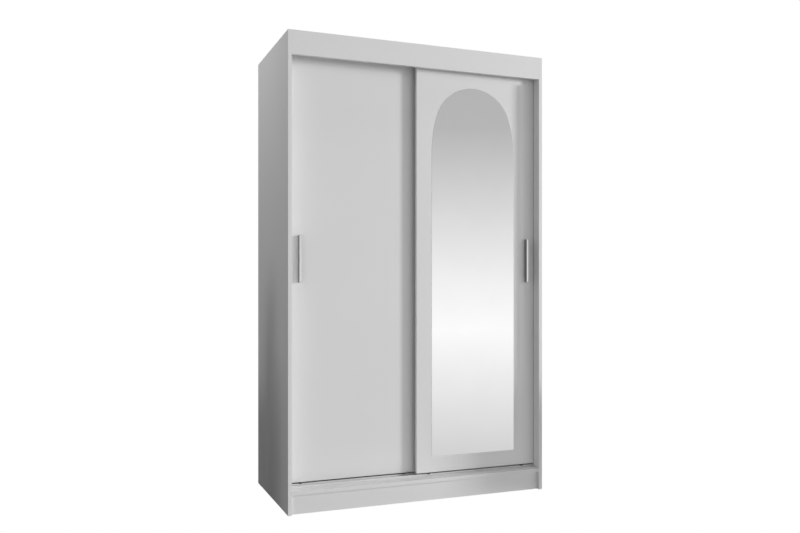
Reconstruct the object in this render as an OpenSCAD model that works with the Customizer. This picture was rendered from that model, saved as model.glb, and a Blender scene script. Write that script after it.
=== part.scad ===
// Wardrobe with two sliding doors, the right one with an arched mirror.
// Millimetres. Origin on the floor under the middle of the footprint.
// +X to the right, +Y to the back, +Z up; the doors face -Y.

/* [Overall] */
// Width over the side panels
width = 1200; // [1000:10:1600]
// Depth over the side panels and the back
depth = 600; // [580:5:700]
// Height with the floor glides
height = 2000; // [1900:10:2300]
// Thickness of the laminated boards
board = 16; // [16:1:18]

/* [Carcass] */
// Height of the floor glides
glide_h = 3; // [2:1:5]
// Height of the bottom panel's upper face
floor_z = 100; // [90:1:120]
// Height of the top fascia
fascia_h = 100; // [90:1:120]
// How far the front plinth is set back
plinth_recess = 16; // [10:1:40]
// Thickness of the back sheets
back_t = 3; // [3:1:4]
// Gap between the two back sheets
back_gap = 2; // [1:0.5:4]
// Distance from the front edges to the partition and the shelves
inner_recess = 116; // [112:1:130]

/* [Doors] */
// Distance from the front edges to the right door's face
door_recess = 48; // [40:1:55]
// Distance between the faces of the two doors
door_pitch = 40; // [38:1:42]
// Width by which the doors overlap
door_overlap = 18; // [10:1:40]
// Gap between a door and the side panel when it is shut
door_end_gap = 1.5; // [1.5:0.5:5]
// Gap between the bottom panel and the doors
door_foot_gap = 16; // [14:1:20]
// Gap between the top panel's underside and the doors
door_head_gap = 44; // [42:1:46]

/* [Handles] */
// Height of a handle's lower end
handle_z = 961; // [800:1:1100]
// Length of a handle
handle_len = 200; // [120:5:400]
// Distance from the left side panel to the left handle
handle_inset_left = 49; // [34:1:80]
// Distance from the right side panel to the right handle
handle_inset_right = 38; // [34:1:80]
// Width of a handle's front
handle_w = 11; // [9:0.5:14]
// How far a handle stands off its door
handle_h = 20; // [14:1:20]

/* [Mirror] */
// Width of the mirror
mirror_w = 414; // [300:1:440]
// Height of the mirror's lower edge over the floor
mirror_z = 186; // [170:1:400]
// Height of the mirror from its lower edge to the top of the arch
mirror_h = 1653; // [1000:1:1680]
// Height of the arch from the ends of the straight sides to its top
arch_rise = 305; // [230:5:500]
// Radius of the arch's crown as a part of half the mirror's width
crown_part = 0.92; // [0.7:0.01:0.98]
// Distance of the mirror's middle from the door's middle, towards the overlap
mirror_shift = 18; // [0:1:30]
// Thickness of the glass
glass_t = 3; // [3:0.5:5]
// Thickness of the mounting tape
tape_t = 1; // [0.8:0.1:1.5]

/* [Fittings] */
// Height of the hat shelf's underside
hat_z = 1650; // [1500:10:1750]
// Height of the hanging rail's middle
rail_z = 1590; // [1450:10:1690]
// Diameter of the hanging rail
rail_d = 25; // [20:1:30]
// Outer diameter of the bottom wheels
wheel_d = 26; // [24:1:28]
// Diameter of the top guide rollers
roller_d = 16.4; // [14:0.1:16.4]

/* [Hidden] */
$fn = 48;

LEFT = -1;
RIGHT = 1;
OUTER = -1;
INNER = 1;

// How far a cutting shape sticks out past what it cuts
over = 1;

white = "white";
board_brown = "burlywood";
steel = "silver";
nylon = "whitesmoke";
dark_plastic = "dimgray";

// Carcass planes
nail_head_t = 1;
back_inset = 1;
front_y = -depth / 2;
back_y = depth / 2 - nail_head_t;
rear_y = back_y - back_t;
side_x = width / 2 - board;
top_z = height - board;
fascia_z = height - fascia_h;
plinth_h = floor_z - board - glide_h;
plinth_y = front_y + plinth_recess;
rear_plinth_y = rear_y - 2 * board;
inner_y = front_y + inner_recess;

// Door planes: the left door runs in the rear plane, the right door in the front plane
door_w = side_x - door_end_gap + door_overlap / 2;
door_z = floor_z + door_foot_gap;
door_top = top_z - door_head_gap;
door_front_y = front_y + door_recess;

// Pockets for the roller housings, open to the door's back
skin = 4;
pocket_depth = board - skin;

function door_y(side) = side == RIGHT ? door_front_y : door_front_y + door_pitch;
function door_mid_x(side) = side * (side_x - door_end_gap - door_w / 2);

// Evenly spaced places from first to last
function evenly(count, first, last) = [
    for (i = [0 : count - 1]) first + i * (last - first) / (count - 1)
];

// Compartments, at the level of the shelves
shelf_count = 4;
bay_w = side_x - board / 2;
bay_x = (side_x + board / 2) / 2;
shelf_play = 2;
shelf_w = bay_w - 2 * shelf_play;
shelf_gap = (top_z - floor_z - shelf_count * board) / (shelf_count + 1);
function shelf_z(i) = floor_z + i * shelf_gap + (i - 1) * board;

// Shelf pins and their rows of holes
pin_d = 5;
pin_hole_d = 5.2;
pin_in = 7;
pin_out = 10;
pin_collar_d = 8;
pin_collar_t = 1.5;
pin_hole_depth = 7.5;
pin_pitch = 32;
pin_rows = 1;
pin_inset = 50;
pin_ys = [inner_y + pin_inset, rear_y - pin_inset];

// Cam joints: bolt in the side panel, cam in the board's face
cam_d = 15;
cam_h = 12.5;
cam_x = 34;
cam_reach = 3;
cam_bore_d = 8;
cam_pocket_d = 7.2;
bolt_d = 6.5;
bolt_neck_d = 4;
bolt_neck_from = 28;
bolt_neck_to = 33;
bolt_end = 35;
bolt_thread_d = 5;
bolt_thread_len = 11;
bolt_pilot_d = 5.1;
bolt_pilot_depth = 11.5;
cross_w = 1.6;
cross_len = 9;
cross_depth = 1.5;

// Wooden dowels
dowel_d = 8;
dowel_in = 11;
dowel_out = 19;
dowel_step = 40;

// Each board that is joined to the sides: [y, z, tilt]; tilt 0 lies flat, 90 stands upright
flat_joint_inset = 90;
plinth_cam_z = glide_h + plinth_h / 2 + 12;
fascia_cam_z = fascia_z + fascia_h / 2 + 14;
flat_ys = [front_y + flat_joint_inset, rear_y - flat_joint_inset];
upright_cams = [
    [plinth_y + board / 2, plinth_cam_z, 90],
    [rear_plinth_y + board / 2, plinth_cam_z, 90],
    [front_y + board / 2, fascia_cam_z, 90]
];
flat_cams = [for (z = [floor_z, height], y = flat_ys) [y, z - board / 2, 0]];
cam_sites = concat(flat_cams, upright_cams);
flat_dowels = [
    for (z = [floor_z, height], y = flat_ys) [y + (y < 0 ? dowel_step : -dowel_step), z - board / 2]
];
upright_dowel_drop = 38;
upright_dowels = [for (c = upright_cams) [c[0], c[1] - upright_dowel_drop]];
dowel_sites = concat(flat_dowels, upright_dowels);

// Dowels that run front to back: [x, y of the joint, z]
fascia_dowel_xs = [-440, -150, 150, 440];
support_dowel_inset = 22;
support_dowel_zs = [glide_h + support_dowel_inset, glide_h + plinth_h - support_dowel_inset];
deep_dowels = concat(
    [for (x = fascia_dowel_xs) [x, front_y + board, height - board / 2]],
    [for (z = support_dowel_zs) [0, plinth_y + board, z]],
    [for (z = support_dowel_zs) [0, rear_plinth_y, z]]
);

// Connecting screws through the top and bottom panels into the partition
connector_inset = 60;
connector_ys = [inner_y + connector_inset, (inner_y + rear_y) / 2, rear_y - connector_inset];
connector_d = 6.4;
connector_head_d = 10;
connector_head_h = 3;
connector_len = 50;
connector_hex = 4.6;

// Nails through the back sheets
nail_d = 1.6;
nail_head_d = 6;
nail_len = 20;
side_nail_inset = 100;
edge_nail_inset = 80;
side_nail_zs = evenly(7, floor_z + side_nail_inset, top_z - side_nail_inset);
edge_nail_xs = evenly(4, edge_nail_inset, side_x - edge_nail_inset);
partition_nail_x = 4.5;

// Countersunk screws
screw_d = 3.4;
screw_hole_d = 3.5;
screw_head_d = 7;
screw_head_h = 2;
screw_len = 14;
drive_w = 0.9;
drive_len = 3.6;
drive_depth = 1;
head_play = 0.2;
head_sink = 0.1;

// Bottom track: two ridges on one base
track_play = 1;
base_t = 1.5;
ridge_w = 3;
ridge_h = 9;
ridge_foot_w = 6;
track_lip = 16;
ridge_y = door_front_y + skin + pocket_depth / 2;
track_screw_inset = 44;
track_screw_xs = evenly(6, track_screw_inset - side_x, side_x - track_screw_inset);

// Bottom wheels
wheel_w = 7;
wheel_groove = 2.5;
wheel_fit = 0.2;
groove_r = ridge_w / 2 + 0.3;
groove_flare = 1;
wheel_roll_r = wheel_d / 2 - wheel_groove;
axle_z = floor_z + ridge_h + wheel_fit + wheel_roll_r;
wheel_hub_d = 9;
wheel_dish = 1;
wheel_rim = 2;
axle_d = 4;
axle_bore_d = 4.1;
axle_head_d = 7;
axle_head_t = 1;
wheel_from_end = 60;

// Roller housings in pockets at the doors' lower corners
pocket_w = 60;
pocket_h = 40;
pocket_play = 0.2;
housing_foot_gap = 0.7;
housing_flange_w = 80;
housing_flange_h = 46;
housing_flange_t = 1.5;
cheek_gap = 0.3;
slot_r = wheel_d / 2 + 1.5;
housing_screw_x = 35;
housing_screw_z = 22;
adjuster_x = 22;
adjuster_d = 6;
adjuster_len = 32;
adjuster_hex = 3.4;

// Top track: two channels under one web
web_t = 2;
channel_wall = 1.5;
channel_w = 17;
channel_h = 26;
channel_y = door_front_y + board / 2;

// Top guides
guide_t = 1.5;
guide_w = 40;
guide_leg = 45;
guide_from_end = 60;
guide_front_gap = 2;
guide_spacer_d = 8;
guide_spacer_h = 20;
guide_pin_d = 4;
roller_bore_d = 4.1;
roller_h = 12;
roller_gap = 0.3;
guide_head_d = 7;
guide_head_t = 1.2;
guide_screw_x = 12;
guide_screw_z = -26;

// Pan head screws of the door fittings
pan_d = 3.4;
pan_head_d = 6.5;
pan_head_t = 1.8;
pan_len = 11;

// Handle screws, driven from the back of the door
handle_screw_d = 4;
handle_screw_head_d = 8;
handle_screw_head_h = 2.5;
handle_screw_inset = 24;
handle_screw_bite = 10;
handle_drive_len = 4.6;

// Hanging rail and its flanges
rail_wall = 1.2;
rail_y = (inner_y + rear_y) / 2;
rail_flange_d = 54;
rail_flange_t = 3;
rail_socket_d = rail_d + 5;
rail_socket_len = 14;
rail_fit = 0.2;
rail_screw_r = 21;
rail_screw_turns = [90, 210, 330];

// Wall brackets at the top of the back
bracket_x = 560;
bracket_w = 30;
bracket_leg = 40;
bracket_t = 2;
bracket_hole_d = 6;
bracket_screw_y = 26;
bracket_screw_dx = 8;

// Floor glides and door bumpers
glide_tip_d = 14;
glide_inset_y = 45;
glide_nail_len = 12;
bumper_d = 10;
bumper_tip_d = 8;
bumper_t = door_end_gap - 0.5;
bumper_zs = [360, 1740];

// Mirror tape strips
tape_w = 20;
tape_count = 4;
tape_inset = 40;
tape_len = 1300;

// ---------------------------------------------------------------- shared shapes

// A box from one corner to the opposite one
module span(a, b) {
    translate([min(a[0], b[0]), min(a[1], b[1]), min(a[2], b[2])])
        cube([abs(b[0] - a[0]), abs(b[1] - a[1]), abs(b[2] - a[2])]);
}

// A cylinder along +X
module rod_x(d, len) {
    rotate([0, 90, 0]) cylinder(d = d, h = len);
}

// A cylinder along +Y
module rod_y(d, len) {
    rotate([-90, 0, 0]) cylinder(d = d, h = len);
}

// A cylinder along +Z that sticks out past both ends of its length
module drill_z(d, from_z, to_z) {
    translate([0, 0, from_z - over]) cylinder(d = d, h = to_z - from_z + 2 * over);
}

// Cross recess that opens at z = 0 and goes down
module cross_recess(w, len, deep) {
    translate([-len / 2, -w / 2, -deep]) cube([len, w, deep + over]);
    translate([-w / 2, -len / 2, -deep]) cube([w, len, deep + over]);
}

// Places its children at a joint: local +X runs into the board, local -Z is the face with the cam
module at_side_joint(side, y, z, tilt) {
    translate([side * side_x, y, z])
        mirror([side == RIGHT ? 1 : 0, 0, 0])
            rotate([tilt, 0, 0]) children();
}

module at_every_cam() {
    for (side = [LEFT, RIGHT], site = cam_sites)
        at_side_joint(side, site[0], site[1], site[2]) children();
}

module at_every_dowel() {
    for (side = [LEFT, RIGHT], site = dowel_sites)
        at_side_joint(side, site[0], site[1], 0) children();
}

// ---------------------------------------------------------------- holes

module cam_bores() {
    at_every_cam() {
        translate([cam_x, 0, -board / 2 - over]) cylinder(d = cam_d, h = cam_h + over);
        translate([-over, 0, 0]) rod_x(cam_bore_d, cam_x + over);
    }
}

module bolt_pilots() {
    at_every_cam() translate([-bolt_pilot_depth, 0, 0]) rod_x(bolt_pilot_d, bolt_pilot_depth + over);
}

// Dowels between the sides and the boards, which also cut their own bores
module side_dowel_rods() {
    at_every_dowel() translate([-dowel_in, 0, 0]) rod_x(dowel_d, dowel_in + dowel_out);
}

// Dowels that run front to back, which also cut their own bores
module deep_dowel_rods() {
    for (p = deep_dowels) {
        into_front = p[1] < 0;
        translate([p[0], p[1] - (into_front ? dowel_in : dowel_out), p[2]])
            rod_y(dowel_d, dowel_in + dowel_out);
    }
}

// Rows of pin holes below a shelf's underside, bored along +X or -X from the plane x
module pin_holes(x, dir, underside) {
    for (y = pin_ys, row = [-pin_rows : pin_rows])
        translate([x, y, underside - pin_d / 2 + row * pin_pitch])
            rotate([0, dir * 90, 0])
                translate([0, 0, -over])
                    cylinder(d = pin_hole_d, h = pin_hole_depth + over);
}

module right_bay_pin_holes(x, dir) {
    for (i = [1 : shelf_count]) pin_holes(x, dir, shelf_z(i));
}

// Nail places as [x, z], over the rear edges of the boards
nail_sites = concat(
    [for (side = [LEFT, RIGHT], z = side_nail_zs) [side * (side_x + board / 2), z]],
    [for (side = [LEFT, RIGHT], z = side_nail_zs) [side * partition_nail_x, z]],
    [for (side = [LEFT, RIGHT], x = edge_nail_xs, z = [floor_z, height]) [side * x, z - board / 2]]
);

module nail_bores() {
    for (p = nail_sites)
        translate([p[0], back_y - nail_len, p[1]]) rod_y(nail_d, nail_len + over);
}

module connector_bores() {
    for (y = connector_ys) {
        translate([0, y, height - connector_len]) {
            cylinder(d = connector_d, h = connector_len + over);
            translate([0, 0, connector_len - connector_head_h])
                cylinder(d = connector_head_d, h = connector_head_h + over);
        }
        translate([0, y, floor_z - board - over]) {
            cylinder(d = connector_d, h = connector_len + over);
            cylinder(d = connector_head_d, h = connector_head_h + over);
        }
    }
}

// Hole for a countersunk screw whose head lies at z = 0 and whose shank goes down
module countersunk_hole() {
    translate([0, 0, -screw_len]) cylinder(d = screw_hole_d, h = screw_len + over);
    translate([0, 0, -screw_head_h]) cylinder(d1 = screw_hole_d, d2 = screw_head_d, h = screw_head_h);
    cylinder(d = screw_head_d, h = over);
}

// Places its children at every countersunk screw of the carcass, head up in local z
module at_bottom_track_screws() {
    for (x = track_screw_xs)
        translate([x, ridge_y + door_pitch / 2, floor_z + base_t]) children();
}

module at_top_track_screws() {
    for (x = track_screw_xs)
        translate([x, channel_y + door_pitch / 2, top_z - web_t])
            rotate([180, 0, 0]) children();
}

module at_rail_screws(side) {
    for (turn = rail_screw_turns)
        translate([side == OUTER ? -side_x + rail_flange_t : -board / 2 - rail_flange_t, rail_y, rail_z])
            rotate([turn, 0, 0])
                translate([0, rail_screw_r, 0])
                    rotate([0, side == OUTER ? 90 : -90, 0]) children();
}

module at_bracket_screws() {
    for (side = [LEFT, RIGHT], dx = [-bracket_screw_dx, bracket_screw_dx])
        translate([side * bracket_x + dx, rear_y - bracket_screw_y, top_z - bracket_t])
            rotate([180, 0, 0]) children();
}

module bracket_wall_holes() {
    for (side = [LEFT, RIGHT])
        translate([side * bracket_x, rear_y - bracket_t - over, top_z - bracket_leg / 2 - bracket_t])
            rod_y(bracket_hole_d, bracket_t + back_t + 2 * over);
}

// ---------------------------------------------------------------- carcass boards

module side_board(side) {
    difference() {
        span([side * side_x, front_y, glide_h], [side * width / 2, rear_y, height]);
        bolt_pilots();
        side_dowel_rods();
        nail_bores();
        glide_nail_bores();
        if (side == LEFT) {
            pin_holes(-side_x, -1, hat_z);
            at_rail_screws(OUTER) countersunk_hole();
        } else {
            right_bay_pin_holes(side_x, 1);
        }
    }
}

module side_left() {
    color(white) side_board(LEFT);
}

module side_right() {
    color(white) side_board(RIGHT);
}

module top_panel() {
    color(white)
        difference() {
            span([-side_x, front_y + board, top_z], [side_x, rear_y, height]);
            cam_bores();
            side_dowel_rods();
            deep_dowel_rods();
            connector_bores();
            nail_bores();
            at_top_track_screws() countersunk_hole();
            at_bracket_screws() countersunk_hole();
        }
}

module top_fascia() {
    color(white)
        difference() {
            span([-side_x, front_y, fascia_z], [side_x, front_y + board, height]);
            cam_bores();
            side_dowel_rods();
            deep_dowel_rods();
        }
}

module bottom_panel() {
    color(white)
        difference() {
            span([-side_x, front_y, floor_z - board], [side_x, rear_y, floor_z]);
            cam_bores();
            side_dowel_rods();
            connector_bores();
            nail_bores();
            at_bottom_track_screws() countersunk_hole();
        }
}

module plinth_board(y) {
    difference() {
        span([-side_x, y, glide_h], [side_x, y + board, floor_z - board]);
        cam_bores();
        side_dowel_rods();
        deep_dowel_rods();
    }
}

module plinth_front() {
    color(white) plinth_board(plinth_y);
}

module plinth_rear() {
    color(white) plinth_board(rear_plinth_y);
}

module plinth_support() {
    color(white)
        difference() {
            span([-board / 2, plinth_y + board, glide_h], [board / 2, rear_plinth_y, floor_z - board]);
            deep_dowel_rods();
            glide_nail_bores();
        }
}

module partition() {
    color(white)
        difference() {
            span([-board / 2, inner_y, floor_z], [board / 2, rear_y, top_z]);
            connector_bores();
            nail_bores();
            pin_holes(-board / 2, 1, hat_z);
            right_bay_pin_holes(board / 2, -1);
            at_rail_screws(INNER) countersunk_hole();
        }
}

module back_sheet(side) {
    difference() {
        span(
            [side * back_gap / 2, rear_y, floor_z - board],
            [side * (width / 2 - back_inset), back_y, height - back_inset]
        );
        nail_bores();
        bracket_wall_holes();
    }
}

module back_panel_left() {
    color(board_brown) back_sheet(LEFT);
}

module back_panel_right() {
    color(board_brown) back_sheet(RIGHT);
}

module shelf_board(side, z) {
    span(
        [side * bay_x - shelf_w / 2, inner_y, z],
        [side * bay_x + shelf_w / 2, rear_y, z + board]
    );
}

module hat_shelf() {
    color(white) shelf_board(LEFT, hat_z);
}

module shelf_1() {
    color(white) shelf_board(RIGHT, shelf_z(1));
}

module shelf_2() {
    color(white) shelf_board(RIGHT, shelf_z(2));
}

module shelf_3() {
    color(white) shelf_board(RIGHT, shelf_z(3));
}

module shelf_4() {
    color(white) shelf_board(RIGHT, shelf_z(4));
}

// ---------------------------------------------------------------- carcass fittings

module hanging_rail() {
    rail_from = -side_x + rail_flange_t;
    rail_to = -board / 2 - rail_flange_t;
    color(steel)
        translate([rail_from, rail_y, rail_z])
            difference() {
                rod_x(rail_d, rail_to - rail_from);
                translate([-over, 0, 0])
                    rod_x(rail_d - 2 * rail_wall, rail_to - rail_from + 2 * over);
            }
}

// A flange whose plate lies on the plane x and whose socket points along dir
module rail_flange(x, dir, side) {
    color(steel)
        difference() {
            translate([x, rail_y, rail_z])
                rotate([0, dir * 90, 0])
                    difference() {
                        union() {
                            cylinder(d = rail_flange_d, h = rail_flange_t);
                            cylinder(d = rail_socket_d, h = rail_socket_len);
                        }
                        translate([0, 0, rail_flange_t])
                            cylinder(d = rail_d + 2 * rail_fit, h = rail_socket_len);
                    }
            at_rail_screws(side) countersunk_hole();
        }
}

module rail_flange_left() {
    rail_flange(-side_x, 1, OUTER);
}

module rail_flange_right() {
    rail_flange(-board / 2, -1, INNER);
}

// Cross-section of one ridge, upright, with its foot at y = 0
module ridge_outline() {
    translate([-ridge_w / 2, 0]) square([ridge_w, ridge_h - ridge_w / 2]);
    translate([0, ridge_h - ridge_w / 2]) circle(d = ridge_w);
    translate([-ridge_foot_w / 2, 0]) square([ridge_foot_w, 2 * base_t]);
}

module bottom_track() {
    color(white)
        difference() {
            translate([-side_x + track_play, 0, floor_z])
                rotate([90, 0, 90])
                    linear_extrude(height = 2 * (side_x - track_play)) {
                        translate([ridge_y - track_lip, 0])
                            square([door_pitch + 2 * track_lip, base_t]);
                        for (y = [ridge_y, ridge_y + door_pitch]) translate([y, 0]) ridge_outline();
                    }
            at_bottom_track_screws() countersunk_hole();
        }
}

module top_track() {
    reach = channel_w / 2 + channel_wall;
    color(white)
        difference() {
            translate([-side_x + track_play, 0, top_z])
                rotate([90, 0, 90])
                    linear_extrude(height = 2 * (side_x - track_play)) {
                        translate([channel_y - reach, -web_t])
                            square([door_pitch + 2 * reach, web_t]);
                        for (y = [channel_y, channel_y + door_pitch], s = [-1, 1])
                            translate([y + s * (reach - channel_wall / 2) - channel_wall / 2, -channel_h])
                                square([channel_wall, channel_h]);
                    }
            at_top_track_screws() countersunk_hole();
        }
}

module cam_locks() {
    color(steel)
        at_every_cam()
            translate([cam_x, 0, -board / 2])
                difference() {
                    cylinder(d = cam_d, h = cam_h);
                    translate([-cam_d, 0, board / 2]) rod_x(cam_pocket_d, cam_d + cam_reach);
                    mirror([0, 0, 1]) cross_recess(cross_w, cross_len, cross_depth);
                }
}

module cam_bolts() {
    color(steel)
        at_every_cam() {
            translate([-bolt_thread_len, 0, 0]) rod_x(bolt_thread_d, bolt_thread_len);
            rod_x(bolt_d, bolt_neck_from);
            rod_x(bolt_neck_d, bolt_end);
            translate([bolt_neck_to, 0, 0]) rod_x(bolt_d, bolt_end - bolt_neck_to);
        }
}

module dowels() {
    color(board_brown) {
        side_dowel_rods();
        deep_dowel_rods();
    }
}

// Screw with its head at the origin's plane and its shank along +Z
module connecting_screw() {
    difference() {
        union() {
            cylinder(d = connector_head_d, h = connector_head_h);
            cylinder(d = connector_d, h = connector_len);
        }
        translate([0, 0, -over]) cylinder(d = connector_hex, h = connector_head_h + over, $fn = 6);
    }
}

module connecting_screws() {
    color(steel)
        for (y = connector_ys) {
            translate([0, y, height]) rotate([180, 0, 0]) connecting_screw();
            translate([0, y, floor_z - board]) connecting_screw();
        }
}

// Pin that sticks into a board at the plane x, with its nose along dir
module shelf_pin(x, dir, y, underside) {
    translate([x, y, underside - pin_d / 2])
        rotate([0, dir * 90, 0]) {
            translate([0, 0, -pin_in]) cylinder(d = pin_d, h = pin_in + pin_out);
            cylinder(d = pin_collar_d, h = pin_collar_t);
        }
}

module shelf_pins() {
    color(steel)
        for (y = pin_ys) {
            shelf_pin(-side_x, 1, y, hat_z);
            shelf_pin(-board / 2, -1, y, hat_z);
            for (i = [1 : shelf_count]) {
                shelf_pin(side_x, -1, y, shelf_z(i));
                shelf_pin(board / 2, 1, y, shelf_z(i));
            }
        }
}

module back_nails() {
    color(steel)
        for (p = nail_sites)
            translate([p[0], back_y, p[1]]) {
                translate([0, -nail_len, 0]) rod_y(nail_d, nail_len);
                rod_y(nail_head_d, nail_head_t);
            }
}

// Countersunk screw with its head at z = 0 and its shank down
module countersunk_screw() {
    difference() {
        union() {
            translate([0, 0, -screw_len]) cylinder(d = screw_d, h = screw_len);
            translate([0, 0, -screw_head_h])
                cylinder(d1 = screw_d, d2 = screw_head_d - head_play, h = screw_head_h - head_sink);
        }
        translate([0, 0, -head_sink]) cross_recess(drive_w, drive_len, drive_depth);
    }
}

module carcass_screws() {
    color(steel) {
        at_bottom_track_screws() countersunk_screw();
        at_top_track_screws() countersunk_screw();
        at_rail_screws(OUTER) countersunk_screw();
        at_rail_screws(INNER) countersunk_screw();
        at_bracket_screws() countersunk_screw();
    }
}

module wall_brackets() {
    color(steel)
        difference() {
            for (side = [LEFT, RIGHT])
                translate([side * bracket_x - bracket_w / 2, rear_y, top_z]) {
                    span([0, -bracket_leg, -bracket_t], [bracket_w, 0, 0]);
                    span([0, -bracket_t, -bracket_leg], [bracket_w, 0, 0]);
                }
            bracket_wall_holes();
            at_bracket_screws() countersunk_hole();
        }
}

module at_every_glide() {
    for (side = [LEFT, RIGHT], y = [front_y + glide_inset_y, rear_y - glide_inset_y])
        translate([side * (side_x + board / 2), y, 0]) children();
    for (y = [plinth_y + board + glide_inset_y, rear_plinth_y - glide_inset_y])
        translate([0, y, 0]) children();
}

module glide_nail_bores() {
    at_every_glide() cylinder(d = nail_d, h = glide_h + glide_nail_len);
}

module floor_glides() {
    color(nylon)
        at_every_glide() {
            cylinder(d1 = glide_tip_d, d2 = board, h = glide_h);
            cylinder(d = nail_d, h = glide_h + glide_nail_len);
        }
}

module door_bumpers() {
    color(nylon)
        for (side = [LEFT, RIGHT], plane = [LEFT, RIGHT], z = bumper_zs)
            translate([side * side_x, door_y(plane) + board / 2, z])
                rotate([0, -side * 90, 0])
                    cylinder(d1 = bumper_d, d2 = bumper_tip_d, h = bumper_t);
}

// ---------------------------------------------------------------- doors

// Places its children at a wheel's middle: local +X along the door, +Y to the back, +Z up
module at_wheel(side, end) {
    x = door_mid_x(side) + side * -end * (door_w / 2 - wheel_from_end);
    translate([x, door_y(side) + skin + pocket_depth / 2, axle_z]) children();
}

// Places its children at a guide's pin, with z = 0 on the door's upper edge
module at_guide(side, end) {
    x = door_mid_x(side) + side * -end * (door_w / 2 - guide_from_end);
    translate([x, door_y(side) + board / 2, door_top]) children();
}

// Places its children at each fitting screw of a door, head towards +Y
module at_fitting_screws(side) {
    for (end = [OUTER, INNER], s = [-1, 1]) {
        at_wheel(side, end)
            translate([s * housing_screw_x, pocket_depth / 2 + housing_flange_t, housing_screw_z])
                children();
        at_guide(side, end)
            translate([s * guide_screw_x, board / 2 + guide_t, guide_screw_z]) children();
    }
}

// Middle of a handle's width
function handle_x(side) = side == LEFT
    ? handle_inset_left + handle_w / 2 - side_x
    : side_x - handle_inset_right - handle_w / 2;

// Places its children at each handle screw, on the back face of the door
module at_handle_screws(side) {
    for (z = [handle_z + handle_screw_inset, handle_z + handle_len - handle_screw_inset])
        translate([handle_x(side), door_y(side) + board, z]) children();
}

module housing_pocket() {
    span(
        [-pocket_w / 2, -pocket_depth / 2, door_z - axle_z - over],
        [pocket_w / 2, pocket_depth / 2 + over, door_z - axle_z + pocket_h]
    );
}

module door_board(side) {
    x = door_mid_x(side);
    y = door_y(side);
    difference() {
        span([x - door_w / 2, y, door_z], [x + door_w / 2, y + board, door_top]);
        for (end = [OUTER, INNER]) at_wheel(side, end) housing_pocket();
        at_fitting_screws(side) translate([0, -pan_len, 0]) rod_y(pan_d, pan_len);
        at_handle_screws(side) {
            translate([0, -board - over, 0]) rod_y(handle_screw_d, board + 2 * over);
            handle_screw_sink();
        }
    }
}

// Seat of a handle screw's head, open towards +Y
module handle_screw_sink() {
    translate([0, -handle_screw_head_h, 0]) rod_y(handle_screw_head_d, handle_screw_head_h + over);
}

module door_panel_left() {
    color(white) door_board(LEFT);
}

module door_panel_right() {
    color(white) door_board(RIGHT);
}

// A plain upright bar, screwed on from behind
module handle(side) {
    color(steel)
        difference() {
            translate([handle_x(side) - handle_w / 2, door_y(side) - handle_h, handle_z])
                cube([handle_w, handle_h, handle_len]);
            at_handle_screws(side)
                translate([0, -board - handle_screw_bite, 0])
                    rod_y(handle_screw_d, handle_screw_bite + over);
        }
}

module handle_left() {
    handle(LEFT);
}

module handle_right() {
    handle(RIGHT);
}

module handle_screws(side) {
    color(steel)
        at_handle_screws(side)
            difference() {
                union() {
                    translate([0, -board - handle_screw_bite, 0])
                        rod_y(handle_screw_d, board + handle_screw_bite - handle_screw_head_h);
                    translate([0, -handle_screw_head_h, 0])
                        rod_y(handle_screw_head_d, handle_screw_head_h);
                }
                rotate([-90, 0, 0]) cross_recess(drive_w, handle_drive_len, drive_depth);
            }
}

module handle_screws_left() {
    handle_screws(LEFT);
}

module handle_screws_right() {
    handle_screws(RIGHT);
}

// Housing round a wheel: a block in the pocket and a flange on the door's back
module roller_housing(side, end) {
    block_foot = door_z - axle_z + housing_foot_gap;
    block_w = pocket_w - 2 * pocket_play;
    color(dark_plastic)
        difference() {
            at_wheel(side, end)
                difference() {
                    union() {
                        span(
                            [-block_w / 2, -pocket_depth / 2 + pocket_play, block_foot],
                            [block_w / 2, pocket_depth / 2, door_z - axle_z + pocket_h - pocket_play]
                        );
                        span(
                            [-housing_flange_w / 2, pocket_depth / 2, block_foot],
                            [
                                housing_flange_w / 2,
                                pocket_depth / 2 + housing_flange_t,
                                block_foot + housing_flange_h
                            ]
                        );
                    }
                    span(
                        [-slot_r, -wheel_w / 2 - cheek_gap, block_foot - over],
                        [slot_r, wheel_w / 2 + cheek_gap, slot_r]
                    );
                    translate([0, -pocket_depth, 0]) rod_y(axle_d, 2 * pocket_depth);
                    translate([adjuster_x, 0, 0]) drill_z(adjuster_d, block_foot, adjuster_len);
                }
            at_fitting_screws(side) translate([0, -pan_len, 0]) rod_y(pan_d, pan_len + over);
        }
}

module roller_housing_left_outer() {
    roller_housing(LEFT, OUTER);
}

module roller_housing_left_inner() {
    roller_housing(LEFT, INNER);
}

module roller_housing_right_outer() {
    roller_housing(RIGHT, OUTER);
}

module roller_housing_right_inner() {
    roller_housing(RIGHT, INNER);
}

// Half section of the wheel: x is the radius, y runs along the axle
module wheel_outline() {
    difference() {
        translate([axle_bore_d / 2, -wheel_w / 2])
            square([(wheel_d - axle_bore_d) / 2, wheel_w]);
        translate([wheel_roll_r + groove_r, 0]) circle(r = groove_r);
        polygon([
            [wheel_roll_r + groove_r, -groove_r],
            [wheel_d / 2 + over, -groove_r - groove_flare],
            [wheel_d / 2 + over, groove_r + groove_flare],
            [wheel_roll_r + groove_r, groove_r]
        ]);
        for (s = [-1, 1])
            translate([wheel_hub_d / 2, s * (wheel_w / 2) - wheel_dish])
                square([wheel_roll_r - wheel_hub_d / 2 - wheel_rim, 2 * wheel_dish]);
    }
}

module wheel(side, end) {
    color(dark_plastic)
        at_wheel(side, end)
            rotate([90, 0, 0])
                rotate_extrude() wheel_outline();
}

module wheel_left_outer() {
    wheel(LEFT, OUTER);
}

module wheel_left_inner() {
    wheel(LEFT, INNER);
}

module wheel_right_outer() {
    wheel(RIGHT, OUTER);
}

module wheel_right_inner() {
    wheel(RIGHT, INNER);
}

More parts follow.
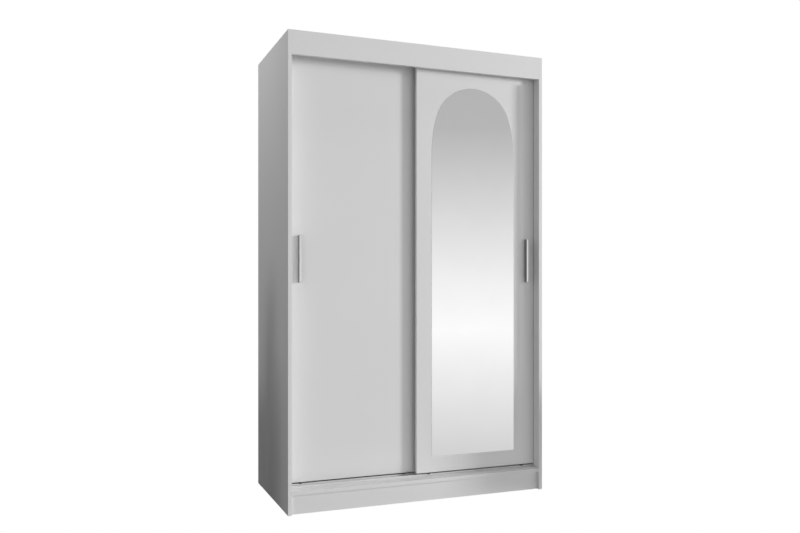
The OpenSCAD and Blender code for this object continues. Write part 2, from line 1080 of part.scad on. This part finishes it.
module wheel_axles(side) {
    color(steel)
        for (end = [OUTER, INNER])
            at_wheel(side, end) {
                translate([0, -pocket_depth / 2 + pocket_play, 0])
                    rod_y(axle_d, pocket_depth + housing_flange_t - pocket_play);
                translate([0, pocket_depth / 2 + housing_flange_t, 0])
                    rod_y(axle_head_d, axle_head_t);
            }
}

module wheel_axles_left() {
    wheel_axles(LEFT);
}

module wheel_axles_right() {
    wheel_axles(RIGHT);
}

module height_adjusters(side) {
    color(steel)
        for (end = [OUTER, INNER])
            at_wheel(side, end)
                translate([adjuster_x, 0, door_z - axle_z + housing_foot_gap])
                    difference() {
                        cylinder(d = adjuster_d, h = adjuster_len);
                        translate([0, 0, -over])
                            cylinder(d = adjuster_hex, h = adjuster_d, $fn = 6);
                    }
}

module height_adjusters_left() {
    height_adjusters(LEFT);
}

module height_adjusters_right() {
    height_adjusters(RIGHT);
}

// Angle over the door's upper edge, with the stepped pin that carries the guide roller
module guide_bracket() {
    top = guide_t + guide_spacer_h;
    difference() {
        union() {
            span([-guide_w / 2, board / 2, -guide_leg], [guide_w / 2, board / 2 + guide_t, guide_t]);
            span(
                [-guide_w / 2, guide_front_gap - board / 2, 0],
                [guide_w / 2, board / 2 + guide_t, guide_t]
            );
            cylinder(d = guide_spacer_d, h = top);
            cylinder(d = guide_pin_d, h = top + roller_h + 2 * roller_gap + guide_head_t);
            translate([0, 0, top + roller_h + 2 * roller_gap])
                cylinder(d = guide_head_d, h = guide_head_t);
        }
        for (s = [-1, 1])
            translate([s * guide_screw_x, board / 2 - over, guide_screw_z])
                rod_y(pan_d, guide_t + 2 * over);
    }
}

module guide_brackets(side) {
    color(steel)
        for (end = [OUTER, INNER]) at_guide(side, end) guide_bracket();
}

module guide_brackets_left() {
    guide_brackets(LEFT);
}

module guide_brackets_right() {
    guide_brackets(RIGHT);
}

module guide_roller(side, end) {
    color(dark_plastic)
        at_guide(side, end)
            translate([0, 0, guide_t + guide_spacer_h + roller_gap])
                difference() {
                    cylinder(d = roller_d, h = roller_h);
                    drill_z(roller_bore_d, 0, roller_h);
                }
}

module guide_roller_left_outer() {
    guide_roller(LEFT, OUTER);
}

module guide_roller_left_inner() {
    guide_roller(LEFT, INNER);
}

module guide_roller_right_outer() {
    guide_roller(RIGHT, OUTER);
}

module guide_roller_right_inner() {
    guide_roller(RIGHT, INNER);
}

module door_fitting_screws(side) {
    color(steel)
        at_fitting_screws(side)
            difference() {
                union() {
                    translate([0, -pan_len, 0]) rod_y(pan_d, pan_len);
                    rod_y(pan_head_d, pan_head_t);
                }
                translate([0, pan_head_t, 0])
                    rotate([-90, 0, 0]) cross_recess(drive_w, drive_len, drive_depth);
            }
}

module door_fitting_screws_left() {
    door_fitting_screws(LEFT);
}

module door_fitting_screws_right() {
    door_fitting_screws(RIGHT);
}

// ---------------------------------------------------------------- mirror

mirror_x = door_mid_x(RIGHT) - mirror_shift;
mirror_y = door_y(RIGHT) - tape_t;

// The outline's arch is a crown arc on the middle line and a wider flank arc on each side;
// the arcs meet without a kink
half_w = mirror_w / 2;
straight_h = mirror_h - arch_rise;
crown_r = crown_part * half_w;
crown_z = arch_rise - crown_r;
flank_r = (half_w * half_w + crown_z * crown_z - crown_r * crown_r) / (2 * (half_w - crown_r));
flank_angle = atan2(crown_z, flank_r - half_w);
flank_steps = 12;
crown_steps = 72;

// Point of an arc round [x, straight_h + z]
function arc_point(x, z, r, angle) = [x + r * cos(angle), straight_h + z + r * sin(angle)];

function mirror_outline() = concat(
    [[-half_w, 0], [half_w, 0]],
    [for (i = [0 : flank_steps - 1])
        arc_point(half_w - flank_r, 0, flank_r, flank_angle * i / flank_steps)],
    [for (i = [0 : crown_steps])
        arc_point(0, crown_z, crown_r, flank_angle + (180 - 2 * flank_angle) * i / crown_steps)],
    [for (i = [1 : flank_steps])
        arc_point(flank_r - half_w, 0, flank_r, 180 - flank_angle * (1 - i / flank_steps))]
);

module mirror_glass() {
    color("lightsteelblue")
        translate([mirror_x, mirror_y, mirror_z])
            rotate([90, 0, 0])
                linear_extrude(height = glass_t)
                    polygon(mirror_outline());
}

module mirror_tape() {
    pitch = (mirror_w - 2 * tape_inset - tape_w) / (tape_count - 1);
    color("dimgray")
        for (i = [0 : tape_count - 1])
            translate([mirror_x - mirror_w / 2 + tape_inset + i * pitch, mirror_y, mirror_z + tape_inset])
                cube([tape_w, tape_t, tape_len]);
}

// ---------------------------------------------------------------- nodes

side_left();
side_right();
top_panel();
top_fascia();
bottom_panel();
plinth_front();
plinth_rear();
plinth_support();
partition();
back_panel_left();
back_panel_right();
hat_shelf();
shelf_1();
shelf_2();
shelf_3();
shelf_4();
hanging_rail();
rail_flange_left();
rail_flange_right();
bottom_track();
top_track();
cam_locks();
cam_bolts();
dowels();
connecting_screws();
shelf_pins();
back_nails();
carcass_screws();
wall_brackets();
floor_glides();
door_bumpers();
door_panel_left();
handle_left();
handle_screws_left();
roller_housing_left_outer();
roller_housing_left_inner();
wheel_left_outer();
wheel_left_inner();
wheel_axles_left();
height_adjusters_left();
guide_brackets_left();
guide_roller_left_outer();
guide_roller_left_inner();
door_fitting_screws_left();
door_panel_right();
mirror_glass();
mirror_tape();
handle_right();
handle_screws_right();
roller_housing_right_outer();
roller_housing_right_inner();
wheel_right_outer();
wheel_right_inner();
wheel_axles_right();
height_adjusters_right();
guide_brackets_right();
guide_roller_right_outer();
guide_roller_right_inner();
door_fitting_screws_right();
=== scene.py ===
"""Looks of the sliding door wardrobe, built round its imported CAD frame.

Metres, +Z up, the doors face -Y.
"""

import math

import bmesh
import bpy
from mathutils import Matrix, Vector


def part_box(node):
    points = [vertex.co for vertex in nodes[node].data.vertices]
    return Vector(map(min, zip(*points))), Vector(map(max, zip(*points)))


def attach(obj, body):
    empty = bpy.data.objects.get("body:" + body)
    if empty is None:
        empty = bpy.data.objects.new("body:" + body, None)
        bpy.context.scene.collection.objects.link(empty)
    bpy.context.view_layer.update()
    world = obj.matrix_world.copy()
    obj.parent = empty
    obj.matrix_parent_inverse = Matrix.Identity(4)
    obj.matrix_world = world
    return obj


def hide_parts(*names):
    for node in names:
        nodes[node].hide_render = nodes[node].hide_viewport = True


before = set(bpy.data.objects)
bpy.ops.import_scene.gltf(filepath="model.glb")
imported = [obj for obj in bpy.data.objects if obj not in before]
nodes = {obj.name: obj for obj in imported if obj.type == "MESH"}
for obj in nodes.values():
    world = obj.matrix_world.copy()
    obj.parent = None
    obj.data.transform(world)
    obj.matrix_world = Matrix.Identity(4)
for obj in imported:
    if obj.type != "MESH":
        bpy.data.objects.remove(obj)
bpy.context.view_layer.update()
scene = bpy.context.scene
MM = 0.001


# ---------------------------------------------------------------- node helpers


class Nodes:
    """Short calls that add nodes to a node tree."""

    def __init__(self, tree):
        self.tree = tree

    def add(self, kind, **inputs):
        node = self.tree.nodes.new(kind)
        for key, value in inputs.items():
            self.feed(node.inputs[key.replace("_", " ")], value)
        return node

    def feed(self, socket, value):
        """Links value to the socket if it is a socket too, or else sets it there."""
        if isinstance(value, bpy.types.NodeSocket):
            self.tree.links.new(value, socket)
        else:
            socket.default_value = value

    def math(self, operation, *values):
        node = self.tree.nodes.new("ShaderNodeMath")
        node.operation = operation
        for socket, value in zip(node.inputs, values):
            self.feed(socket, value)
        return node.outputs[0]

    def spread(self, value, low, high, start=0.0, end=1.0, interpolation="LINEAR"):
        """Maps value from start..end to low..high."""
        node = self.add("ShaderNodeMapRange", Value=value, From_Min=start, From_Max=end)
        node.interpolation_type = interpolation
        self.feed(node.inputs["To Min"], low)
        self.feed(node.inputs["To Max"], high)
        return node.outputs["Result"]

    def ramp(self, factor, stops):
        node = self.add("ShaderNodeValToRGB", Fac=factor)
        elements = node.color_ramp.elements
        while len(elements) < len(stops):
            elements.new(0.5)
        for element, (place, colour) in zip(elements, stops):
            element.position = place
            element.color = (*colour, 1.0)
        return node.outputs["Color"]


class Look(Nodes):
    """A material and its node tree, with the nodes that the materials share."""

    def __init__(self, name):
        self.material = bpy.data.materials.new(name)
        self.material.use_nodes = True
        super().__init__(self.material.node_tree)
        self.shader = next(n for n in self.tree.nodes if n.type == "BSDF_PRINCIPLED")
        self.coords = self.add("ShaderNodeTexCoord").outputs["Object"]

    def stretched(self, scale):
        """Object coordinates scaled by a different factor along each axis."""
        return self.add("ShaderNodeMapping", Vector=self.coords, Scale=scale).outputs["Vector"]

    def noise(self, scale, detail=2.0, roughness=0.5, vector=None):
        node = self.add("ShaderNodeTexNoise", Scale=scale, Detail=detail, Roughness=roughness)
        self.feed(node.inputs["Vector"], vector or self.coords)
        return node.outputs["Fac"]

    def cells(self, scale, vector=None, feature="F1"):
        node = self.add("ShaderNodeTexVoronoi", Scale=scale)
        node.feature = feature
        self.feed(node.inputs["Vector"], vector or self.coords)
        return node.outputs["Distance"]

    def mix(self, factor, a, b):
        """Colour a where factor is 0 and b where it is 1, each a colour or a socket."""
        node = self.tree.nodes.new("ShaderNodeMix")
        node.data_type = "RGBA"
        self.feed(node.inputs[0], factor)
        for socket, value in ((node.inputs[6], a), (node.inputs[7], b)):
            self.feed(socket, (*value, 1.0) if isinstance(value, tuple) else value)
        return node.outputs[2]

    def bump(self, height, strength, distance, below=None):
        node = self.add("ShaderNodeBump", Height=height, Strength=strength, Distance=distance)
        if below is not None:
            self.feed(node.inputs["Normal"], below)
        return node.outputs["Normal"]

    def facing(self, axis):
        """The normal's component along an object axis, 0 for X, 1 for Y, 2 for Z."""
        normal = self.add("ShaderNodeTexCoord").outputs["Normal"]
        parts = self.add("ShaderNodeSeparateXYZ", Vector=normal)
        return parts.outputs[axis]

    def finish(self, colour=None, roughness=None, normal=None, **constants):
        for key, value in (("Base Color", colour), ("Roughness", roughness), ("Normal", normal)):
            if value is not None:
                self.feed(self.shader.inputs[key], value)
        for key, value in constants.items():
            self.shader.inputs[key.replace("_", " ")].default_value = value
        return self.material


def grey(value):
    return (value, value, value)


# ---------------------------------------------------------------- materials

# Thickness of the edge bands, width of the glue line beside them, and its tone as a part of the board's
BAND = 0.9 * MM
SEAM = 0.2 * MM
SEAM_PART = 0.62


def laminate(name, box, tone=0.87):
    """White melamine laminate: pearl emboss, faint clouds, slightly uneven gloss and edge-band seams."""
    t = Look(name)
    low, high = box
    cloud = t.noise(2.2, 4.0, 0.55)
    fine = t.noise(260.0, 3.0, 0.6)
    tint = t.math("ADD", t.math("MULTIPLY", cloud, 0.7), t.math("MULTIPLY", fine, 0.3))
    colour = t.ramp(tint, [(0.3, grey(tone * 0.975)), (0.7, grey(tone))])
    sizes = [high[i] - low[i] for i in range(3)]
    place = t.add("ShaderNodeSeparateXYZ", Vector=t.coords).outputs
    # A thin line beside every edge of the board's broad faces
    seam = 0.0
    for axis in range(3):
        if sizes[axis] == min(sizes):
            continue
        off_middle = t.math("ABSOLUTE", t.math("SUBTRACT", place[axis], (low[axis] + high[axis]) / 2))
        line = t.math("COMPARE", off_middle, sizes[axis] / 2 - BAND, SEAM / 2)
        seam = t.math("MAXIMUM", line, seam)
    colour = t.mix(seam, colour, grey(tone * SEAM_PART))
    pearl = t.cells(1300.0, feature="SMOOTH_F1")
    wave = t.noise(90.0, 3.0, 0.5)
    normal = t.bump(pearl, 0.18, 0.00006, t.bump(wave, 0.12, 0.00012))
    gloss = t.spread(t.noise(38.0, 5.0, 0.65), 0.40, 0.52)
    return t.finish(colour, gloss, normal, Specular_IOR_Level=0.45)


def hardboard(name):
    """Thin hardboard: white lacquer on the face that looks into the wardrobe, raw fibre behind."""
    t = Look(name)
    fibre = t.noise(700.0, 6.0, 0.7, t.stretched((1.0, 1.0, 0.45)))
    flecks = t.cells(900.0)
    mottle = t.noise(6.0, 4.0, 0.6)
    raw = t.ramp(
        t.math("ADD", t.math("MULTIPLY", fibre, 0.7), t.math("MULTIPLY", mottle, 0.3)),
        [(0.30, (0.135, 0.085, 0.050)), (0.52, (0.235, 0.160, 0.100)), (0.72, (0.330, 0.240, 0.160))],
    )
    inside = t.math("LESS_THAN", t.facing(1), -0.5)
    lacquer = t.ramp(t.noise(3.0, 3.0), [(0.3, grey(0.74)), (0.7, grey(0.78))])
    colour = t.mix(inside, raw, lacquer)
    gloss = t.spread(inside, 0.82, 0.5)
    rough = t.bump(t.math("ADD", fibre, flecks), 0.25, 0.00015)
    return t.finish(colour, gloss, rough)


def beech(name):
    """Raw beech of the dowels, with pores along the grain."""
    t = Look(name)
    grain = t.noise(420.0, 5.0, 0.6, t.stretched((0.12, 1.0, 1.0)))
    colour = t.ramp(grain, [(0.3, (0.42, 0.27, 0.15)), (0.7, (0.62, 0.44, 0.27))])
    return t.finish(colour, 0.7, t.bump(grain, 0.3, 0.0002))


def brushed(name, along, tone=0.86, rough=(0.20, 0.30)):
    """Satin aluminium with fine drawing lines along one axis; its flanks are a little rougher and much
    darker in colour, the darkness being painted shade.
    """
    t = Look(name)
    squeeze = [1.0, 1.0, 1.0]
    squeeze[along] = 0.006
    lines = t.noise(5200.0, 4.0, 0.6, t.stretched(tuple(squeeze)))
    broad = t.noise(700.0, 3.0, 0.5, t.stretched(tuple(squeeze)))
    both = t.math("ADD", t.math("MULTIPLY", lines, 0.6), t.math("MULTIPLY", broad, 0.4))
    bright = t.ramp(both, [(0.30, grey(tone * 0.90)), (0.70, grey(tone))])
    # Painted shade: faces turned along X get a far darker colour, standing in for the shaded door that
    # they reflect
    painted_shade_flank = t.ramp(both, [(0.30, grey(tone * 0.36)), (0.70, grey(tone * 0.46))])
    flank = t.math("GREATER_THAN", t.math("ABSOLUTE", t.facing(0)), 0.8)
    gloss = t.math("ADD", t.spread(both, *rough, start=0.3, end=0.7), t.math("MULTIPLY", flank, 0.12))
    return t.finish(t.mix(flank, bright, painted_shade_flank), gloss, t.bump(both, 0.10, 0.00004), Metallic=1.0)


def powder_coat(name, tone=0.86):
    """White powder coat with its fine orange peel."""
    t = Look(name)
    peel = t.noise(420.0, 2.0, 0.45)
    cloud = t.noise(7.0, 3.0, 0.5)
    colour = t.ramp(cloud, [(0.3, grey(tone * 0.97)), (0.7, grey(tone))])
    return t.finish(colour, t.spread(peel, 0.32, 0.42), t.bump(peel, 0.2, 0.00012))


def plated(name, tone=0.56):
    """Zinc-plated steel: slightly cloudy, with small spangles."""
    t = Look(name)
    spangle = t.cells(900.0)
    cloud = t.noise(160.0, 5.0, 0.6)
    colour = t.ramp(cloud, [(0.3, grey(tone * 0.82)), (0.7, grey(tone))])
    gloss = t.spread(t.math("ADD", spangle, cloud), 0.24, 0.44, start=0.3, end=1.2)
    return t.finish(colour, gloss, t.bump(cloud, 0.12, 0.0001), Metallic=1.0)


def chrome(name):
    """Polished chrome with a faint film of fingerprints."""
    t = Look(name)
    film = t.noise(55.0, 5.0, 0.6)
    colour = t.ramp(film, [(0.3, grey(0.74)), (0.7, grey(0.80))])
    return t.finish(colour, t.spread(film, 0.05, 0.13, start=0.4, end=0.7), None, Metallic=1.0)


def moulded(name, tone, gloss=(0.42, 0.55)):
    """Injection-moulded plastic with an eroded surface."""
    t = Look(name)
    erosion = t.noise(1500.0, 4.0, 0.6)
    flow = t.noise(60.0, 3.0, 0.5)
    colour = t.ramp(flow, [(0.3, grey(tone * 0.93)), (0.7, grey(tone))])
    return t.finish(colour, t.spread(erosion, *gloss), t.bump(erosion, 0.2, 0.00006))


def soft_pad(name):
    """Soft translucent pad."""
    t = Look(name)
    haze = t.noise(500.0, 4.0, 0.6)
    colour = t.ramp(haze, [(0.3, grey(0.62)), (0.7, grey(0.74))])
    return t.finish(colour, t.spread(haze, 0.3, 0.5), t.bump(haze, 0.15, 0.0001), Subsurface_Weight=0.2)


def foam(name):
    """Open foam of the mounting tape."""
    t = Look(name)
    bubbles = t.cells(1400.0)
    colour = t.ramp(bubbles, [(0.0, grey(0.02)), (0.6, grey(0.07))])
    return t.finish(colour, 0.9, t.bump(bubbles, 0.6, 0.0003))


def silvered(name):
    """Silvered glass seen from the front: a clear mirror with the slightest haze."""
    t = Look(name)
    haze = t.noise(9.0, 4.0, 0.55)
    colour = t.ramp(haze, [(0.3, grey(0.925)), (0.7, grey(0.94))])
    return t.finish(colour, t.spread(haze, 0.0, 0.012, start=0.45, end=0.8), None, Metallic=1.0)


def polished_edge(name):
    """Ground and polished edge of the mirror glass, which shows the surface beside it."""
    t = Look(name)
    grind = t.noise(900.0, 3.0, 0.5)
    colour = t.ramp(grind, [(0.3, grey(0.86)), (0.7, grey(0.93))])
    return t.finish(colour, t.spread(grind, 0.10, 0.18), t.bump(grind, 0.06, 0.00004), Metallic=0.9)


# ---------------------------------------------------------------- shapes of the CAD nodes

BOARD_ROUNDING = 0.4 * MM
HANDLE_ROUNDING = 2.6 * MM
WELD_GAP = 0.01 * MM
# Edges that turn by more than this are sharp
SHARP_ANGLE = math.radians(50)


def soften(obj, width, segments=2):
    """Rounds a node's sharp edges a little."""
    weld = obj.modifiers.new("weld", "WELD")
    weld.merge_threshold = WELD_GAP
    bevel = obj.modifiers.new("edges", "BEVEL")
    bevel.width = width
    bevel.segments = segments
    bevel.limit_method = "ANGLE"
    bevel.angle_limit = SHARP_ANGLE
    bevel.use_clamp_overlap = False
    bevel.harden_normals = False


def paint(names, material):
    for name in names:
        for slot in nodes[name].material_slots:
            slot.material = material


BOARDS = (
    "side_left", "side_right", "top_panel", "top_fascia", "bottom_panel", "plinth_front", "plinth_rear",
    "plinth_support", "partition", "hat_shelf", "shelf_1", "shelf_2", "shelf_3", "shelf_4",
    "door_panel_left", "door_panel_right",
)


STEEL = (
    "cam_locks", "cam_bolts", "connecting_screws", "shelf_pins", "back_nails", "carcass_screws",
    "wall_brackets", "handle_screws", "wheel_axles", "height_adjusters", "guide_brackets",
    "door_fitting_screws",
)


def dress_boards():
    for name in BOARDS:
        paint((name,), laminate(f"white_laminate_{name}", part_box(name)))
        soften(nodes[name], BOARD_ROUNDING)


def named(*starts):
    """The names of all nodes that start so."""
    return [name for name in nodes if name.startswith(starts)]


def dress_fittings():
    paint(("back_panel_left", "back_panel_right"), hardboard("hardboard"))
    paint(("dowels",), beech("beech"))
    paint(("handle_left", "handle_right"), brushed("handle_aluminium", 2))
    paint(("bottom_track", "top_track"), powder_coat("white_powder_coat"))
    paint(("hanging_rail", "rail_flange_left", "rail_flange_right"), chrome("chrome"))
    paint(named(*STEEL), plated("zinc_steel"))
    paint(named("roller_housing"), moulded("grey_plastic", 0.16))
    paint(named("wheel_left", "wheel_right", "guide_roller"), moulded("dark_plastic", 0.10))
    paint(("floor_glides",), moulded("white_plastic", 0.7))
    paint(("door_bumpers",), soft_pad("clear_pad"))
    paint(("mirror_tape",), foam("foam_tape"))
    for side in ("left", "right"):
        soften(nodes[f"handle_{side}"], HANDLE_ROUNDING, 5)


# Radius of the crown arc as a part of the mirror's half width
CROWN_PART = 0.92
# Height of the arched head
ARCH_RISE = 305 * MM
# Rounding of the glass edge
ARRIS = 0.8 * MM
# Steps of each flank arc; the crown takes twice as many
ARC_STEPS = 48


def arch_outline(low, high, inset):
    """The mirror's outline moved inwards by inset: a straight foot and sides, flank arcs and a crown."""
    half = (high.x - low.x) / 2
    middle = (high.x + low.x) / 2
    spring = high.z - ARCH_RISE
    crown_r = CROWN_PART * half
    crown_z = ARCH_RISE - crown_r
    flank_r = (half ** 2 + crown_z ** 2 - crown_r ** 2) / (2 * (half - crown_r))
    joint = math.atan2(crown_z, flank_r - half)

    def arc(x, z, radius, start, end, steps):
        """Points about x, z from the angle start to just before end."""
        r = radius - inset
        angles = [start + (end - start) * i / steps for i in range(steps)]
        return [(x + r * math.cos(a), z + r * math.sin(a)) for a in angles]

    points = [(-half + inset, low.z + inset), (half - inset, low.z + inset)]
    points += arc(half - flank_r, spring, flank_r, 0.0, joint, ARC_STEPS)
    points += arc(0.0, spring + crown_z, crown_r, joint, math.pi - joint, 2 * ARC_STEPS)
    points += arc(flank_r - half, spring, flank_r, math.pi - joint, math.pi, ARC_STEPS)
    points.append((-half + inset, spring))
    return [(middle + x, z) for x, z in points]


def mirror_piece():
    """The mirror: an arched pane, silvered, with a polished edge that is rounded to the front."""
    low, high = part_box("mirror_glass")
    bm = bmesh.new()

    def ring(inset, y):
        return [bm.verts.new((x, y, z)) for x, z in arch_outline(low, high, inset)]

    rings = [ring(0.0, high.y), ring(0.0, low.y + ARRIS)]
    for degrees in (30, 60, 90):
        turn = math.radians(degrees)
        rings.append(ring(ARRIS * (1 - math.cos(turn)), low.y + ARRIS * (1 - math.sin(turn))))
    count = len(rings[0])
    for first, second in zip(rings, rings[1:]):
        for i in range(count):
            j = (i + 1) % count
            edge_face = bm.faces.new((first[i], first[j], second[j], second[i]))
            edge_face.material_index = 1
    bm.faces.new(rings[-1])
    bm.faces.new(list(reversed(rings[0])))
    bmesh.ops.recalc_face_normals(bm, faces=bm.faces)
    mesh = bpy.data.meshes.new("mirror_pane")
    bm.to_mesh(mesh)
    bm.free()
    pane = bpy.data.objects.new("mirror_pane", mesh)
    scene.collection.objects.link(pane)
    # Clear glass lets the light through to the door beside it
    pane.visible_shadow = False
    mesh.materials.append(silvered("mirror_silver"))
    mesh.materials.append(polished_edge("mirror_edge"))
    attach(pane, "door_right")
    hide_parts("mirror_glass")


# ---------------------------------------------------------------- studio

CAMERA_PLACE = Vector((-1.401, -3.5846, 0.964))
# The camera looks level and to the right of +Y by this angle
CAMERA_TURN = math.radians(21.501)
CAMERA_LENS = 36.794
CAMERA_SENSOR = 36.0
HORIZON_SHIFT = 0.019


def add_camera():
    data = bpy.data.cameras.new("camera")
    data.lens = CAMERA_LENS
    data.sensor_width = CAMERA_SENSOR
    data.shift_y = HORIZON_SHIFT
    camera = bpy.data.objects.new("camera", data)
    camera.location = CAMERA_PLACE
    camera.rotation_euler = (math.pi / 2, 0.0, -CAMERA_TURN)
    scene.collection.objects.link(camera)
    scene.camera = camera


def towards(azimuth, elevation):
    """Unit vector from the wardrobe; azimuth in degrees from -Y towards +X."""
    a = math.radians(azimuth)
    e = math.radians(elevation)
    return Vector((math.sin(a) * math.cos(e), -math.cos(a) * math.cos(e), math.sin(e)))


def add_light(name, kind, direction, **settings):
    """A lamp that shines against direction and that mirrors and gloss don't show."""
    data = bpy.data.lights.new(name, kind)
    for key, value in settings.items():
        setattr(data, key, value)
    light = bpy.data.objects.new(name, data)
    light.rotation_euler = (-direction).to_track_quat("-Z", "Y").to_euler()
    light.visible_glossy = False
    light.visible_camera = False
    scene.collection.objects.link(light)
    return light


KEY_AIM = towards(56, 9)
KEY_DISTANCE = 7.5
KEY_TARGET = Vector((0.0, -0.3, 1.0))

# Broad lights: azimuth, elevation, strength and angular size in degrees
SUNS = {
    "front": (28, -6, 0.56, 60),
    "left": (-78, 5, 0.40, 45),
    "top": (0, 80, 0.5, 25),
    "rear": (160, 20, 2.6, 30),
}


def add_lights():
    key = add_light("key", "AREA", KEY_AIM, energy=261.0, size=1.5)
    key.location = KEY_TARGET + KEY_DISTANCE * KEY_AIM
    for name, (azimuth, elevation, energy, width) in SUNS.items():
        add_light(name, "SUN", towards(azimuth, elevation), energy=energy, angle=math.radians(width))
    over = add_light("upper_left", "AREA", Vector((-1.0, 0.1, 0.9)), energy=10.8, size=0.8)
    over.location = (-1.9, 0.35, 2.7)


# Corners of the card that shades the doors' lower right corner from the key light
KEY_FLAG = ((0.77, -0.66, 0.20), (1.6, -0.74, 0.10), (1.6, -0.74, 0.54), (0.77, -0.66, 0.66))
# Distance from the middle, and corners as y, z, of the card that shades the left side's foot
LEFT_FLAG_X = -0.92
LEFT_FLAG = (
    (-0.16, -0.15), (0.70, -0.15), (0.70, 0.46), (0.12, 0.46), (0.00, 1.02), (-0.10, 1.02),
    (-0.14, 0.50), (-0.16, 0.40),
)
# Near edge, far edge and top of the narrow card that stands before the right side panel's inner edge
SIDE_FLAG_NEAR = 2 * MM
SIDE_FLAG_FAR = 26 * MM
SIDE_FLAG_TOP = 1.88
SIDE_FLAG_OFFSET = 1 * MM


def add_flag(name, corners):
    """A card that only casts a shadow and is seen by nothing."""
    mesh = bpy.data.meshes.new(name)
    mesh.from_pydata(corners, [], [tuple(range(len(corners)))])
    flag = bpy.data.objects.new(name, mesh)
    flag.visible_camera = False
    flag.visible_glossy = False
    flag.visible_diffuse = False
    scene.collection.objects.link(flag)


def add_flags():
    add_flag("key_flag", KEY_FLAG)
    add_flag("left_flag", [(LEFT_FLAG_X, y, z) for y, z in LEFT_FLAG])
    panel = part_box("side_right")[0]
    x = panel.x - SIDE_FLAG_OFFSET
    near = panel.y - SIDE_FLAG_NEAR
    far = panel.y - SIDE_FLAG_FAR
    top = SIDE_FLAG_TOP
    add_flag("side_flag", ((x, near, 0.0), (x, far, 0.0), (x, far, top), (x, near, top)))


# Brightness that mirrors and gloss see, by the sine of the elevation
HORIZON = ((-0.4, 0.45), (-0.203, 0.69), (-0.058, 1.04), (0.0, 0.94), (0.184, 0.50), (0.4, 0.45))
# Part of it that is left behind the wardrobe
BEHIND = 0.12
# Soft fill from everywhere, and what the front adds to it
FILL_BASE = 0.02
FILL_FRONT = 0.29
WHITE = (1.0, 1.0, 1.0, 1.0)


def add_world():
    """White to the camera; a soft glow from the front, brightest at the horizon, to everything else."""
    world = bpy.data.worlds.new("studio")
    world.use_nodes = True
    t = Nodes(world.node_tree)
    t.tree.nodes.clear()
    direction = t.add("ShaderNodeTexCoord").outputs["Generated"]

    def lobe(axis, start, end, low, high):
        """Goes from low to high as the direction's cosine to axis goes from start to end."""
        dot = t.tree.nodes.new("ShaderNodeVectorMath")
        dot.operation = "DOT_PRODUCT"
        t.feed(dot.inputs[0], direction)
        t.feed(dot.inputs[1], axis)
        return t.spread(dot.outputs["Value"], low, high, start, end, "SMOOTHSTEP")

    def glow(colour, strength=1.0):
        return t.add("ShaderNodeBackground", Color=colour, Strength=strength).outputs[0]

    def choose(factor, first, second):
        node = t.add("ShaderNodeMixShader", Fac=factor)
        t.feed(node.inputs[1], first)
        t.feed(node.inputs[2], second)
        return node.outputs[0]

    low, high = HORIZON[0][0], HORIZON[-1][0]
    sine = t.add("ShaderNodeSeparateXYZ", Vector=direction).outputs["Z"]
    band = t.ramp(
        t.spread(sine, 0.0, 1.0, low, high),
        [((place - low) / (high - low), grey(value)) for place, value in HORIZON],
    )
    gloss = glow(band, lobe(towards(42, 0), -0.1, 0.6, BEHIND, 1.0))
    fill = glow(WHITE, lobe(towards(10, -15), -0.1, 0.9, FILL_BASE, FILL_BASE + FILL_FRONT))
    path = t.add("ShaderNodeLightPath").outputs
    lit = choose(path["Is Glossy Ray"], fill, gloss)
    seen = choose(path["Is Camera Ray"], lit, glow(WHITE))
    t.add("ShaderNodeOutputWorld", Surface=seen)
    scene.world = world


FLOOR_RADIUS = 14.0
FLOOR_DROP = 0.5 * MM


def add_floor():
    """A white sweep under the object that meets the background."""
    bm = bmesh.new()
    bmesh.ops.create_circle(bm, cap_ends=True, radius=FLOOR_RADIUS, segments=96)
    mesh = bpy.data.meshes.new("floor")
    bm.to_mesh(mesh)
    bm.free()
    floor = bpy.data.objects.new("floor", mesh)
    floor.location.z = -FLOOR_DROP
    material = bpy.data.materials.new("floor_white")
    material.use_nodes = True
    t = Nodes(material.node_tree)
    t.tree.nodes.clear()
    glow = t.add("ShaderNodeEmission", Color=WHITE)
    t.add("ShaderNodeOutputMaterial", Surface=glow.outputs[0])
    mesh.materials.append(material)
    floor.visible_diffuse = False
    floor.visible_glossy = False
    floor.visible_shadow = False
    scene.collection.objects.link(floor)


scene.view_settings.view_transform = "Standard"
add_camera()
add_lights()
add_flags()
add_world()
add_floor()
dress_boards()
dress_fittings()
mirror_piece()
